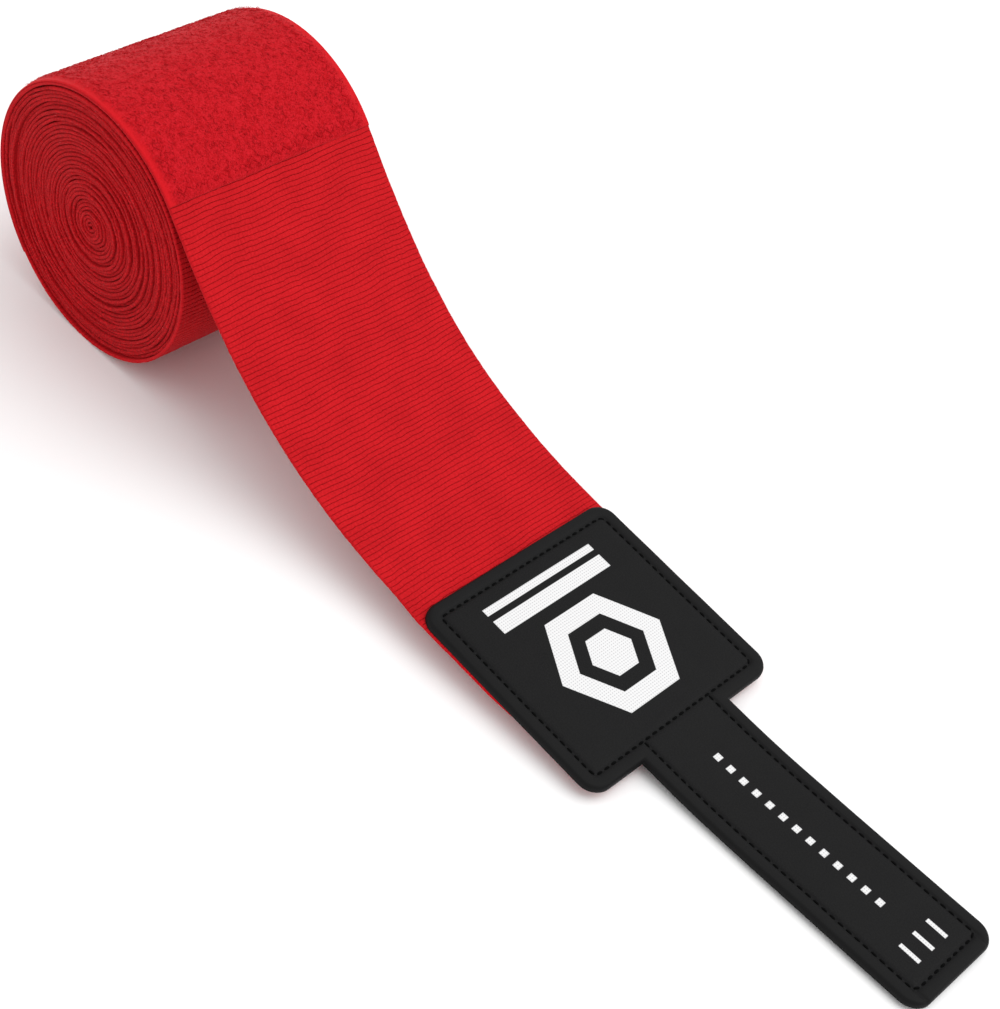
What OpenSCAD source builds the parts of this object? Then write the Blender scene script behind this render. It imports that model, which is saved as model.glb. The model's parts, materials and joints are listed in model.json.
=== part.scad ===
// Elastic hand wrap, partly unrolled: one long band wound round its thumb loop, a free run of band,
// and a T-shaped badge whose strap closes the roll with hook tape on a loop patch.
// The roll's axis lies along Y and the band runs towards +X. It stands on z = 0.
// Band, badge and strap are soft, so they are cut into short lengths that turn on each other.

/* [Band] */
// Width of the elastic band
band_w = 50; // [40:1:60]
// Thickness of one layer of band
band_t = 0.73; // [0.6:0.01:1]
// Free length of band between the roll and the badge
run_len = 90; // [70:1:110]

/* [Roll] */
// Radius of the wound roll, under its last half turn
roll_r = 28.4; // [24:0.1:32]
// Air between two turns
turn_gap = 0.04; // [0.03:0.01:0.08]
// How far the last half turn stands off the roll where it leaves
last_turn_lift = 0.95; // [0.8:0.05:1.5]
// Height of the leaving point, as an angle above the roll's axis
leave_angle = 43; // [35:1:50]
// Outer radius of the wound thumb loop, in the roll's middle
loop_r = 4.5; // [3.5:0.1:6]
// Radius of the hole inside the thumb loop
eye_r = 0.8; // [0.5:0.1:1.5]
// Width of the thumb loop's webbing
loop_w = 25; // [15:1:35]
// Thickness of the folded thumb loop
loop_t = 1.4; // [1:0.1:1.8]

/* [Loop patch] */
// Thickness of the brushed loop patch
patch_t = 0.7; // [0.5:0.1:0.8]
// How far the patch reaches round the roll from the leaving point
patch_turn = 183; // [150:1:200]

/* [Badge and strap] */
// Width of the badge
badge_w = 50; // [40:1:60]
// Length of the badge
badge_len = 47; // [40:1:55]
// Width of the strap
strap_w = 24; // [18:1:30]
// Length of the strap beyond the badge
strap_len = 64; // [55:1:75]
// Thickness of the coated face of badge and strap
face_t = 1.5; // [1:0.1:2]
// Radius of the rounded corners
corner_r = 4; // [2:0.5:6]
// Thickness of the hook tape under the strap
hook_t = 0.9; // [0.75:0.05:1]
// Width of the hook tape
hook_w = 20; // [14:1:22]

/* [Stitching] */
// Distance from the edge to the stitching
stitch_inset = 3; // [2:0.5:4]
// Width of a stitch
stitch_w = 0.5; // [0.3:0.1:0.8]
// How far a stitch stands out of the face
stitch_t = 0.2; // [0.1:0.05:0.3]

/* [Hidden] */
$fn = 96;
RUN_CUTS = 8;      // lengths in the free run
BADGE_CUTS = 4;    // lengths in the badge
STRAP_CUTS = 6;    // lengths in the strap
STITCHES = 6;      // stitches along each length
CUT_GAP = 0.2;     // air at each cut
SETTLE = 100;      // length over which the run comes down from the roll
STRAP_DOWN = 24;   // part of the strap over which it comes to lie flat
FIRST_BADGE = RUN_CUTS;
FIRST_STRAP = RUN_CUTS + BADGE_CUTS;
CUTS = FIRST_STRAP + STRAP_CUTS;

pitch = band_t + turn_gap;
axis_z = roll_r;
band_inner = roll_r - band_t;
loop_reach = loop_r + (loop_t + turn_gap)/4;    // a spiral stands off its axis by a quarter of its pitch
loop_bed = loop_reach + pitch/4 + turn_gap;     // the turns as wide as the band stop short of the thumb loop
side_w = (band_w - loop_w)/2 - CUT_GAP;         // beside the loop the innermost turns close in further

// Last half turn: its centre, inner radius, and the point on its inside where the run leaves
last_x = pitch/4 + last_turn_lift/2;
last_inner = band_inner + pitch/2 + last_turn_lift/2;
leave_x = last_x + last_inner*cos(leave_angle);
leave_z = axis_z + last_inner*sin(leave_angle);

// The strip beyond the leaving point: lengths of its cuts, and where each starts along it
function cut_len(k) = k < FIRST_BADGE ? run_len/RUN_CUTS
                    : k < FIRST_STRAP ? badge_len/BADGE_CUTS
                    : strap_len/STRAP_CUTS;
function cut_start(k) = k == 0 ? 0 : cut_start(k - 1) + cut_len(k - 1);

// Downward tilt of the strip: steep at the roll, a shallow slope under the badge, flat at the tip
function ease(t) = let (x = min(max(t, 0), 1)) x*x*(3 - 2*x);
function tilt_at(s, slope) = (90 - leave_angle - slope)*(1 - ease(s/SETTLE))
    + slope*(1 - ease((s - run_len - badge_len)/STRAP_DOWN));
function cut_tilt(k, slope) = tilt_at(cut_start(k) + cut_len(k)/2, slope);
function drop(k, slope) = k < 0 ? 0 : drop(k - 1, slope) + cut_len(k)*sin(cut_tilt(k, slope));
function reach(k, slope) = k < 0 ? 0 : reach(k - 1, slope) + cut_len(k)*cos(cut_tilt(k, slope));

// The badge's slope that brings the hook tape down onto z = 0
fall = leave_z - (hook_t - band_t);
function slope_for(low, high, tries) = let (mid = (low + high)/2)
    tries == 0 ? mid
    : drop(CUTS - 1, mid) > fall ? slope_for(low, mid, tries - 1) : slope_for(mid, high, tries - 1);
badge_slope = slope_for(0, 15, 30);

// The origin is at the middle of the whole length
left_x = -(pitch/4 + roll_r + patch_t);
right_x = leave_x + reach(CUTS - 1, badge_slope);
origin_x = (left_x + right_x)/2;

function numbered(name, n) = [for (i = [1:n]) str(name, i)];

// Half a turn of a curved layer, above or below the axis, about a line at x beside it
module half_turn(x, inner, thick, width, upper)
    translate([x, 0, axis_z]) rotate([90, 0, 0]) rotate([0, 0, upper ? 0 : 180])
        rotate_extrude(angle = 180) translate([inner, -width/2]) square([thick, width]);

// Everything from the given angle to half a turn beyond it, about a line at x
module from_angle(x, angle)
    translate([x, 0, axis_z]) rotate([0, -angle, 0])
        translate([-2*roll_r, -band_w, 0]) cube([4*roll_r, 2*band_w, 2*roll_r]);

// A spiral made of half turns about two centres, so that each half turn runs into the next
function half_turns(outer, hole, thick) = 1 + floor(2*(outer - thick - hole)/(thick + turn_gap));
module spiral(outer, hole, thick, width, first = 0) {
    step = (thick + turn_gap)/2;
    for (k = [first:half_turns(outer, hole, thick) - 1]) {
        upper = k % 2 == 1;
        half_turn(upper ? step/2 : -step/2, outer - thick - k*step, thick, width, upper);
    }
}

// Carries a shape drawn on the flat strip to where cut k lies
module on_cut(k)
    translate([leave_x + reach(k - 1, badge_slope), 0, leave_z - drop(k - 1, badge_slope)])
        rotate([0, cut_tilt(k, badge_slope), 0]) children();

module rounded_square(len, width, r) {
    translate([0, r - width/2]) square([len, width - 2*r]);
    translate([r, -width/2]) square([len - 2*r, width]);
    for (x = [r, len - r], y = [r - width/2, width/2 - r]) translate([x, y]) circle(r);
}

// The badge with its strap, cut from one sheet; the badge's top edge is at x = 0
module t_shape() {
    rounded_square(badge_len, badge_w, corner_r);
    translate([badge_len - 2*corner_r, 0]) rounded_square(strap_len + 2*corner_r, strap_w, corner_r);
}

// A flat layer of the strip over cut k, between two shares of its length
module layer(k, z, thick, from, to, width = band_w)
    on_cut(k) translate([from*cut_len(k) + CUT_GAP/2, -width/2, z])
        cube([(to - from)*cut_len(k) - CUT_GAP, width, thick]);

// The same for the badge and strap, which keep the outline of the sheet
module face(k, from = 0, to = 1)
    on_cut(k) translate([0, 0, band_t]) linear_extrude(face_t) intersection() {
        translate([cut_start(FIRST_BADGE) - cut_start(k), 0]) t_shape();
        translate([from*cut_len(k) + CUT_GAP/2, -badge_w/2])
            square([(to - from)*cut_len(k) - CUT_GAP, badge_w]);
    }

// Lines of stitches on cut k: one along each side, and one across where asked
module side_stitches(k, width, first, last)
    on_cut(k) for (i = [first:last], side = [-1, 1]) {
        step = cut_len(k)/STITCHES;
        translate([(i + 0.5)*step, side*(width/2 - stitch_inset), band_t + face_t + stitch_t/2])
            cube([0.65*step, stitch_w, stitch_t], center = true);
    }
module cross_stitches(k, x, width)
    on_cut(k) {
        count = floor((width - 2*stitch_inset)/2);
        for (i = [0:count - 1])
            translate([x, (i + 0.5 - count/2)*2, band_t + face_t + stitch_t/2])
                cube([stitch_w, 1.3, stitch_t], center = true);
    }

module wound_band() color("firebrick") {
    spiral(roll_r, loop_bed, band_t, band_w);
    for (side = [-1, 1])
        translate([0, side*(band_w - side_w)/2, 0])
            spiral(roll_r, eye_r, band_t, side_w, half_turns(roll_r, loop_bed, band_t));
    intersection() {
        half_turn(last_x, last_inner, band_t, band_w, true);
        from_angle(last_x, leave_angle);
    }
}
module thumb_loop() color("darkred") spiral(loop_r, eye_r, loop_t, loop_w);
module loop_patch() color("crimson") {
    intersection() {
        half_turn(last_x, last_inner + band_t, patch_t, band_w, true);
        from_angle(last_x, leave_angle);
    }
    intersection() {
        half_turn(-pitch/4, roll_r, patch_t, band_w, false);
        from_angle(-pitch/4, leave_angle + patch_turn - 180);
    }
}
module run(k) color("firebrick") layer(k, 0, band_t, 0, 1);
// The band's end keeps inside the badge's rounded corners, which it is sewn to
module band_end(k) color("firebrick") intersection() {
    layer(k, 0, band_t, 0, 1);
    on_cut(k) linear_extrude(band_t) translate([cut_start(FIRST_BADGE) - cut_start(k) - badge_len, 0])
        rounded_square(2*badge_len, band_w, corner_r);
}
module badge(k) color("#2a2a2a") face(k);
module badge_stitching(k) color("black") {
    top = k == FIRST_BADGE;
    bottom = k == FIRST_STRAP - 1;
    side_stitches(k, badge_w, top ? 2 : 0, bottom ? STITCHES - 3 : STITCHES - 1);
    if (top) cross_stitches(k, stitch_inset, badge_w);
    if (bottom) cross_stitches(k, cut_len(k) - stitch_inset, badge_w);
}
module strap_root() color("#2a2a2a") face(FIRST_STRAP, 0, 0.5);
module strap_root_stitching() color("black") side_stitches(FIRST_STRAP, strap_w, 0, STITCHES/2 - 1);
module strap(k) color("#2a2a2a") face(k, k == FIRST_STRAP ? 0.5 : 0, 1);
module strap_stitching(k) color("black") {
    tip = k == CUTS - 1;
    side_stitches(k, strap_w, k == FIRST_STRAP ? STITCHES/2 : 0, tip ? STITCHES - 3 : STITCHES - 1);
    if (tip) cross_stitches(k, cut_len(k) - stitch_inset, strap_w);
}
module hook_tape(k) color("dimgray")
    layer(k, band_t - hook_t, hook_t, k == FIRST_STRAP ? 0.5 : 0, k == CUTS - 1 ? 0.85 : 1, hook_w);

translate([-origin_x, 0, 0]) {
    wound_band();
    thumb_loop();
    loop_patch();
    for (i = [1:RUN_CUTS])
        run(i - 1);
    for (i = [1:BADGE_CUTS]) {
        k = FIRST_BADGE + i - 1;
        band_end(k);
        badge(k);
        badge_stitching(k);
    }
    strap_root();
    strap_root_stitching();
    for (i = [1:STRAP_CUTS]) {
        k = FIRST_STRAP + i - 1;
        strap(k);
        strap_stitching(k);
        hook_tape(k);
    }
}
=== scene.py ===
"""Looks of an elastic hand wrap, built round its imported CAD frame.

Everything soft is laid along one line: the band's underside, from the innermost turn of the roll
(s far below 0) over the leaving point (s = 0) to the strap's tip. A point of a piece is
(s, y, h): the way along that line, the place across the band, and the height above its underside.
Lengths are in metres.
"""
import json
import math

import bmesh
import bpy
import numpy as np
from mathutils import Matrix, Vector

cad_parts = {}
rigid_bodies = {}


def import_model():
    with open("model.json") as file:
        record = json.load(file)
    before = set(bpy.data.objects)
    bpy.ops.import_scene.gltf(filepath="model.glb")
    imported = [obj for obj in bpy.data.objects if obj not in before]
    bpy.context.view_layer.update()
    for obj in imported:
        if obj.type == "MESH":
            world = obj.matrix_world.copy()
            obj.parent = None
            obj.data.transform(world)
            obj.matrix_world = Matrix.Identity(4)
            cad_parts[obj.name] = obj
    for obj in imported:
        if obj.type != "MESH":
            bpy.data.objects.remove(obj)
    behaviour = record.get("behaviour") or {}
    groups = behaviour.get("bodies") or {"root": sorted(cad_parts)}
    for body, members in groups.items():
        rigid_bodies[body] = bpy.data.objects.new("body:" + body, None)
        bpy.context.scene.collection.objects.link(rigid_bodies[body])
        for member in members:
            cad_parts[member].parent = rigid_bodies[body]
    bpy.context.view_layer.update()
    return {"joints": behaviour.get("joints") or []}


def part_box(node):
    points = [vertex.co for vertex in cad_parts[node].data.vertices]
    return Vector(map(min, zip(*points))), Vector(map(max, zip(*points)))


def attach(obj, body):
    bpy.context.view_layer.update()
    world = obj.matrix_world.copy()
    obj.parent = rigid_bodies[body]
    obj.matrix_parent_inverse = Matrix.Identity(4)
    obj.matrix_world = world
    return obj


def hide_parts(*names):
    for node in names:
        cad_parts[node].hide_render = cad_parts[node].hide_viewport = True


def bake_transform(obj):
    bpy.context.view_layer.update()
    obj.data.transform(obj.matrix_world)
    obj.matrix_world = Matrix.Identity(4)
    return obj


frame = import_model()
MM = 0.001

# ---------------------------------------------------------------- sizes, from the frame
LIFT_JOINT = "strap_lift"
JOINTS = frame["joints"]
CHAIN = [JOINTS[0]["parent"]] + [joint["child"] for joint in JOINTS]
HINGES = np.array([[j["pos_m"][0], j["pos_m"][2]] for j in JOINTS if j["name"] != LIFT_JOINT])

flat_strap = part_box("strap_5")
flat_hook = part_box("hook_tape_5")
BAND_T = flat_strap[0].z - HINGES[-1][1]
FACE_T = flat_strap[1].z - flat_strap[0].z
HOOK_BOTTOM = flat_hook[0].z - HINGES[-1][1]
HALF_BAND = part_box("run_1")[1].y
HALF_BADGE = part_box("badge_2")[1].y
HALF_STRAP = flat_strap[1].y
HALF_HOOK = flat_hook[1].y
HALF_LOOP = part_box("thumb_loop")[1].y
TIP_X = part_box("strap_6")[1].x

TURN_GAP = 0.04*MM          # air between two turns
CORNER_R = 4*MM             # rounded corners of badge and strap
STITCH_INSET = 3*MM         # stitching from the edge
LOOP_T = 1.4*MM             # the folded webbing of the thumb loop
EYE_R = 0.25*MM             # the innermost turn is folded almost flat on itself
HEM = 0.8*MM                # the band stops this far inside the badge's lower edge
HELD_S = -8*MM              # the wound sheet ends and the free band begins here, under the patch
RIBBED_S = HELD_S - 205*MM  # further in than this, only the edges of the turns are drawn in full
FREE_S = -2*MM              # the middle of the roll's own length of the free band
PATCH_END = math.radians(226)    # polar angle at which the loop patch ends, under the roll

# ---------------------------------------------------------------- the line of the band
pitch = BAND_T + TURN_GAP
roll_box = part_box("wound_band")
ROLL_R = (roll_box[1].x - roll_box[0].x)/2
LOW_X = (roll_box[0].x + roll_box[1].x)/2          # centre of the lowest half turn
AXIS_X = LOW_X + pitch/4
AXIS_Z = ROLL_R
last_side = roll_box[0].x + BAND_T                 # inside of the band at the roll's left
rise = HINGES[0][1] - AXIS_Z
LAST_X = (HINGES[0][0]**2 + rise**2 - last_side**2)/(2*(HINGES[0][0] - last_side))
LAST_R = LAST_X - last_side
LEAVE = math.atan2(rise, HINGES[0][0] - LAST_X)
STEP_ANGLE = math.radians(1.5)      # between points of a wound turn
RUN_POINTS = 4001                   # on the line of the free part


def arc_points(x, radius, start, end):
    """Points and outward normals along an arc about (x, axis), from angle start to end."""
    count = max(2, round(abs(end - start)/STEP_ANGLE))
    angle = np.linspace(start, end, count + 1)
    normal = np.stack([np.cos(angle), np.sin(angle)], 1)
    return np.array([x, AXIS_Z]) + radius*normal, normal


class Line:
    """A curve in the plane of the roll's end, read by its length s. Height is along its normal."""

    def __init__(self, points, normals, zero=0.0):
        keep = np.r_[True, np.linalg.norm(np.diff(points, axis=0), axis=1) > 1e-7]
        points, normals = points[keep], normals[keep]
        steps = np.linalg.norm(np.diff(points, axis=0), axis=1)
        self.s = np.r_[0, np.cumsum(steps)] + zero
        self.points, self.normals = points, normals

    def place(self, s, y, h):
        """Points of the row frame for arrays s, y, h."""
        x, z, nx, nz = (np.interp(s, self.s, a) for a in (*self.points.T, *self.normals.T))
        size = np.hypot(nx, nz)
        return np.stack([x + h*nx/size, y + 0*x, z + h*nz/size], -1)


def spiral(first_r, step, outside=()):
    """Points and outward normals of half turns wound inwards, innermost point first.

    A half turn is step smaller than the one before. The arcs in outside come before the first.
    """
    arcs = list(outside)
    k = 0
    while first_r - k*step >= EYE_R:
        upper = k % 2
        start = 0 if upper else math.pi
        x = AXIS_X + (step/2 if upper else -step/2)
        arcs.append((x, first_r - k*step, start, start + math.pi))
        k += 1
    return [np.concatenate(part)[::-1] for part in zip(*(arc_points(*arc) for arc in arcs))]


def run_line():
    """The free part and the stations of its CAD lengths: it turns evenly between their middles."""
    ends = np.vstack([HINGES, [TIP_X, HINGES[-1][1]]])
    steps = np.diff(ends, axis=0)
    lengths = np.linalg.norm(steps, axis=1)
    stations = np.r_[0, np.cumsum(lengths)]
    tilts = np.arctan2(-steps[:, 1], steps[:, 0])
    middles = (stations[1:] + stations[:-1])/2
    s = np.linspace(0, stations[-1], RUN_POINTS)
    tilt = np.interp(s, np.r_[0, middles, stations[-1]], np.r_[math.pi/2 - LEAVE, tilts, 0])
    step = s[1]
    way = np.stack([np.cos(tilt), -np.sin(tilt)], 1)
    points = ends[0] + np.vstack([[0, 0], np.cumsum((way[1:] + way[:-1])/2*step, axis=0)])
    points += (ends[-1] - points[-1])*(s/stations[-1])[:, None]
    normals = np.stack([np.sin(tilt), np.cos(tilt)], 1)
    return points, normals, stations


last_half_turn = (LAST_X, LAST_R, LEAVE, math.pi)
wound_points, wound_normals = spiral(ROLL_R - BAND_T, pitch/2, [last_half_turn])
free_points, free_normals, STATIONS = run_line()
wound_length = np.linalg.norm(np.diff(wound_points, axis=0), axis=1).sum()
BAND = Line(
    np.vstack([wound_points, free_points[1:]]),
    np.vstack([wound_normals, free_normals[1:]]),
    zero=-wound_length,
)
RUN_CUTS = sum(name.startswith("run_") for name in CHAIN)
BADGE_CUTS = sum(name.startswith("badge_") for name in CHAIN)
BADGE_S = STATIONS[RUN_CUTS]                  # where the badge starts
STRAP_S = STATIONS[RUN_CUTS + BADGE_CUTS]     # where the strap starts
TIP_S = STATIONS[-1]
PATCH_LENGTH = (math.pi - LEAVE)*LAST_R + (PATCH_END - math.pi)*(ROLL_R - BAND_T)

# Middle of each moving length. Pieces meet there, and each spans the hinge between two.
# The lift hinge halves the strap's first length.
ROOT_END = (STRAP_S + STATIONS[RUN_CUTS + BADGE_CUTS + 1])/2
body_ends = np.insert(STATIONS, RUN_CUTS + BADGE_CUTS + 1, ROOT_END)
MIDDLE = dict(zip(CHAIN[1:], (body_ends[1:] + body_ends[:-1])/2))
MIDDLE[CHAIN[0]] = FREE_S


# ---------------------------------------------------------------- noise
def value_noise(x, y, seed):
    """Smooth noise from -1 to 1 with cells of size 1, the same each run."""
    size = 256
    lattice = np.random.RandomState(seed).uniform(-1, 1, (size, size))
    x, y = np.broadcast_arrays(np.asarray(x, float), np.asarray(y, float))
    i, j = np.floor(x).astype(int), np.floor(y).astype(int)
    u, v = x - i, y - j
    u, v = u*u*(3 - 2*u), v*v*(3 - 2*v)
    i, j, i1, j1 = i % size, j % size, (i + 1) % size, (j + 1) % size
    low = lattice[i, j]*(1 - u) + lattice[i1, j]*u
    high = lattice[i, j1]*(1 - u) + lattice[i1, j1]*u
    return low*(1 - v) + high*v


def fabric_noise(s, y, cell, seed):
    """Smooth noise over the band. A cell is its size along and across, in millimetres."""
    return value_noise(s/(cell[0]*MM), y/(cell[1]*MM), seed)


def edge_noise(s, row, cell, seed):
    """Smooth noise along an edge, in a row of its own. The cell is in millimetres."""
    return value_noise(s/(cell*MM), row, seed)


# ---------------------------------------------------------------- meshes
WELD = 0.001*MM             # vertices closer than this are one
SHARP = math.radians(50)    # edges that turn further than this are not shaded smooth


def new_object(name, vertices, faces, uv=None, values=None, weld=False):
    """A smooth-shaded object from arrays of vertices and faces. Its UV is (s, y) of the strip."""
    mesh = bpy.data.meshes.new(name)
    mesh.vertices.add(len(vertices))
    mesh.vertices.foreach_set("co", np.asarray(vertices, np.float32).ravel())
    faces = np.asarray(faces, np.int32)
    mesh.loops.add(faces.size)
    mesh.loops.foreach_set("vertex_index", faces.ravel())
    mesh.polygons.add(len(faces))
    starts = np.arange(0, faces.size, faces.shape[1], dtype=np.int32)
    mesh.polygons.foreach_set("loop_start", starts)
    mesh.update(calc_edges=True)
    if uv is not None:
        layer = mesh.uv_layers.new(name="strip")
        layer.data.foreach_set("uv", np.asarray(uv, np.float32)[faces.ravel()].ravel())
    for key, value in (values or {}).items():
        attribute = mesh.attributes.new(key, "FLOAT", "POINT")
        attribute.data.foreach_set("value", np.asarray(value, np.float32).ravel())
    if weld:
        work = bmesh.new()
        work.from_mesh(mesh)
        bmesh.ops.remove_doubles(work, verts=work.verts, dist=WELD)
        work.to_mesh(mesh)
        work.free()
    mesh.validate()
    mesh.shade_smooth()
    mesh.set_sharp_from_angle(angle=SHARP)
    obj = bpy.data.objects.new(name, mesh)
    bpy.context.scene.collection.objects.link(obj)
    return obj


class Slabs:
    """Closed slabs laid along a line, gathered into one mesh."""

    def __init__(self, line):
        self.line = line
        self.vertices, self.faces, self.uv, self.values, self.count = [], [], [], {}, 0

    def add(self, s, y, top, bottom, start_cap=None, end_cap=None, **values):
        """A grid of rows along s and columns across y, between bottom and top.

        A cap is a mask of the columns that are closed at that end: without one, all are.
        """
        shape = np.broadcast_shapes(s.shape, y.shape)
        s, y, top, bottom = (np.broadcast_to(a, shape) for a in (s, y, top, bottom))
        below = s.size                      # from a vertex of the top to the one under it
        ids = self.count + np.arange(s.size).reshape(shape)
        top_faces = np.stack([ids[:-1, :-1], ids[1:, :-1], ids[1:, 1:], ids[:-1, 1:]], -1)
        top_faces = top_faces.reshape(-1, 4)

        def wall(a, b):
            return np.stack([a, b, b + below, a + below], -1)

        first, last = wall(ids[0, :-1], ids[0, 1:]), wall(ids[-1, :-1], ids[-1, 1:])
        if start_cap is not None:
            first = first[start_cap]
        if end_cap is not None:
            last = last[end_cap]
        left, right = wall(ids[:-1, 0], ids[1:, 0]), wall(ids[:-1, -1], ids[1:, -1])
        self.faces += [top_faces[:, ::-1], top_faces + below, left, right[:, ::-1],
                       first[:, ::-1], last]
        self.vertices += [self.line.place(s, y, h).reshape(-1, 3) for h in (top, bottom)]
        self.uv += [np.stack([s.ravel(), y.ravel()], 1)]*2
        for key, value in values.items():
            flat = np.broadcast_to(value, shape).ravel()
            self.values.setdefault(key, []).extend([flat, flat])
        self.count += 2*s.size

    def build(self, name, weld=False):
        values = {key: np.concatenate(parts) for key, parts in self.values.items()}
        return new_object(name, np.concatenate(self.vertices), np.concatenate(self.faces),
                          np.concatenate(self.uv), values, weld)


def tubes(name, paths, radius, sides, flatten=1.0):
    """Closed tubes along paths of points (s, y, h), all with the same number of points."""
    paths = np.asarray(paths, float)
    count, length, _ = paths.shape
    tiny = 1e-12
    way = np.gradient(paths, axis=1)
    way /= np.linalg.norm(way, axis=2, keepdims=True) + tiny
    side = np.cross(way, [0, 0, 1.0])
    side /= np.linalg.norm(side, axis=2, keepdims=True) + tiny
    up = np.cross(side, way)
    angle = np.arange(sides)*2*math.pi/sides
    radius = np.broadcast_to(radius, (count, length))[..., None, None]
    ring = paths[:, :, None] + radius*(np.cos(angle)[:, None]*side[:, :, None]
                                       + flatten*np.sin(angle)[:, None]*up[:, :, None])
    ids = np.arange(count*length*sides).reshape(count, length, sides)
    a, b = ids[:, :-1], ids[:, 1:]
    quads = np.stack([a, np.roll(a, -1, 2), np.roll(b, -1, 2), b], -1).reshape(-1, 4)
    points = ring.reshape(-1, 3)
    first, last = ids[:, 0], ids[:, -1]
    # a tube of four sides is closed with one quad at each end, any other with a fan of triangles
    if sides == 4:
        faces = np.concatenate([quads, first[:, ::-1], last])
    else:
        hubs = len(points) + np.arange(2*count).reshape(2, count, 1)
        hubs = np.broadcast_to(hubs, (2, count, sides))
        points = np.vstack([points, paths[:, 0], paths[:, -1]])
        fans = [np.stack([first, hubs[0], np.roll(first, -1, 1)], -1),
                np.stack([last, np.roll(last, -1, 1), hubs[1]], -1)]
        faces = np.concatenate([quads[:, [0, 1, 2]], quads[:, [0, 2, 3]],
                                *(fan.reshape(-1, 3) for fan in fans)])
    return new_object(name, BAND.place(*points.T), faces, points[:, :2])


def across(half, fine, coarse, border):
    """Column places from -half to half, fine near both edges and coarse between."""
    edge = np.arange(0, border, fine)
    count = max(2, round((2*half - 2*border)/coarse) + 1)
    middle = np.linspace(border, 2*half - border, count)
    return np.concatenate([edge, middle, 2*half - edge[::-1]]) - half


# ---------------------------------------------------------------- materials
class Nodes:
    """A material, with short names for building its node tree."""

    def __init__(self, name, colour, roughness, specular=0.3):
        self.material = bpy.data.materials.new(name)
        self.material.use_nodes = True
        self.tree = self.material.node_tree
        self.bsdf = self.tree.nodes["Principled BSDF"]
        self.set("Base Color", colour)
        self.set("Roughness", roughness)
        self.set("Specular IOR Level", specular)

    def set(self, name, value):
        """A socket of the shader: a number, a colour or another node's output."""
        self.put(self.bsdf.inputs[name], value)

    def sheen(self, weight, roughness, tint):
        self.set("Sheen Weight", weight)
        self.set("Sheen Roughness", roughness)
        self.set("Sheen Tint", tint)

    def node(self, kind, **inputs):
        made = self.tree.nodes.new("ShaderNode" + kind)
        for key, value in inputs.items():
            self.put(made.inputs[key.replace("_", " ")], value)
        return made

    def put(self, socket, value):
        if isinstance(value, bpy.types.NodeSocket):
            self.tree.links.new(value, socket)
        elif isinstance(value, tuple) and len(value) == 3 and socket.type == "RGBA":
            socket.default_value = (*value, 1)
        else:
            socket.default_value = value

    def math(self, operation, *values):
        made = self.node("Math")
        made.operation = operation
        for socket, value in zip(made.inputs, values):
            self.put(socket, value)
        return made.outputs[0]

    def total(self, *weighted):
        """The sum of values, each times its weight."""
        terms = [self.math("MULTIPLY", value, weight) for value, weight in weighted]
        total = terms[0]
        for term in terms[1:]:
            total = self.math("ADD", total, term)
        return total

    def wave(self, value, period):
        """A sine of value, from -1 to 1."""
        return self.math("SINE", self.math("MULTIPLY", value, 2*math.pi/period))

    def mix(self, factor, a, b):
        """Colour a where factor is 0, b where it is 1."""
        made = self.node("Mix")
        made.data_type = "RGBA"
        factor_socket, a_socket, b_socket = (made.inputs[i] for i in (0, 6, 7))
        self.put(factor_socket, factor)
        self.put(a_socket, a)
        self.put(b_socket, b)
        return made.outputs[2]

    def ramp(self, value, low, high):
        """0 below low, 1 above high, smooth between."""
        made = self.node("MapRange", Value=value, From_Min=low, From_Max=high)
        made.interpolation_type = "SMOOTHSTEP"
        return made.outputs[0]

    def attribute(self, name):
        made = self.node("Attribute")
        made.attribute_name = name
        return made.outputs["Fac"]

    def millimetres(self, vector):
        made = self.node("VectorMath")
        made.operation = "SCALE"
        self.put(made.inputs[0], vector)
        self.put(made.inputs["Scale"], 1/MM)
        return made.outputs[0]

    def strip(self):
        """The strip's own coordinates in millimetres: as a vector, along, and across."""
        uv = self.node("UVMap")
        uv.uv_map = "strip"
        place = self.millimetres(uv.outputs[0])
        split = self.node("SeparateXYZ", Vector=place)
        return place, split.outputs[0], split.outputs[1]

    def object_mm(self):
        """Object coordinates in millimetres."""
        return self.millimetres(self.node("TexCoord").outputs["Object"])

    def noise(self, vector, scale, detail=2.0, roughness=0.5):
        made = self.node("TexNoise", Vector=vector, Scale=scale, Detail=detail,
                         Roughness=roughness)
        return made.outputs["Fac"]

    def bump(self, height, strength, distance):
        made = self.node("Bump", Height=height, Strength=strength, Distance=distance)
        self.set("Normal", made.outputs[0])


RED = (0.50, 0.0045, 0.0095)
DEEP_RED = (0.34, 0.0015, 0.004)
# GROOVE_RED: on the band, the painted shade in the grooves
GROOVE_RED = (0.25, 0.0008, 0.002)
RIM_RED = (0.60, 0.006, 0.011)
BRIGHT_RED = (0.60, 0.008, 0.013)
PILE_LIGHT = (0.55, 0.0095, 0.018)
PILE_DARK = (0.40, 0.002, 0.005)
BLACK = (0.006, 0.006, 0.0062)
GRAIN_DARK = (0.0045, 0.0045, 0.0047)
GRAIN_LIGHT = (0.0085, 0.0085, 0.0087)
WELT_BLACK = (0.0062, 0.0062, 0.0064)
THREAD_BLACK = (0.0015, 0.0015, 0.0016)
TAPE_BLACK = (0.012, 0.012, 0.0125)
WHITE = (0.74, 0.74, 0.74)
DOT_GREY = (0.50, 0.50, 0.51)
PAPER = (0.93, 0.93, 0.93)
KNIT, WEAVE, DOTS = 0.9, 0.8, 1.1     # periods of the fine patterns, in millimetres


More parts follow.
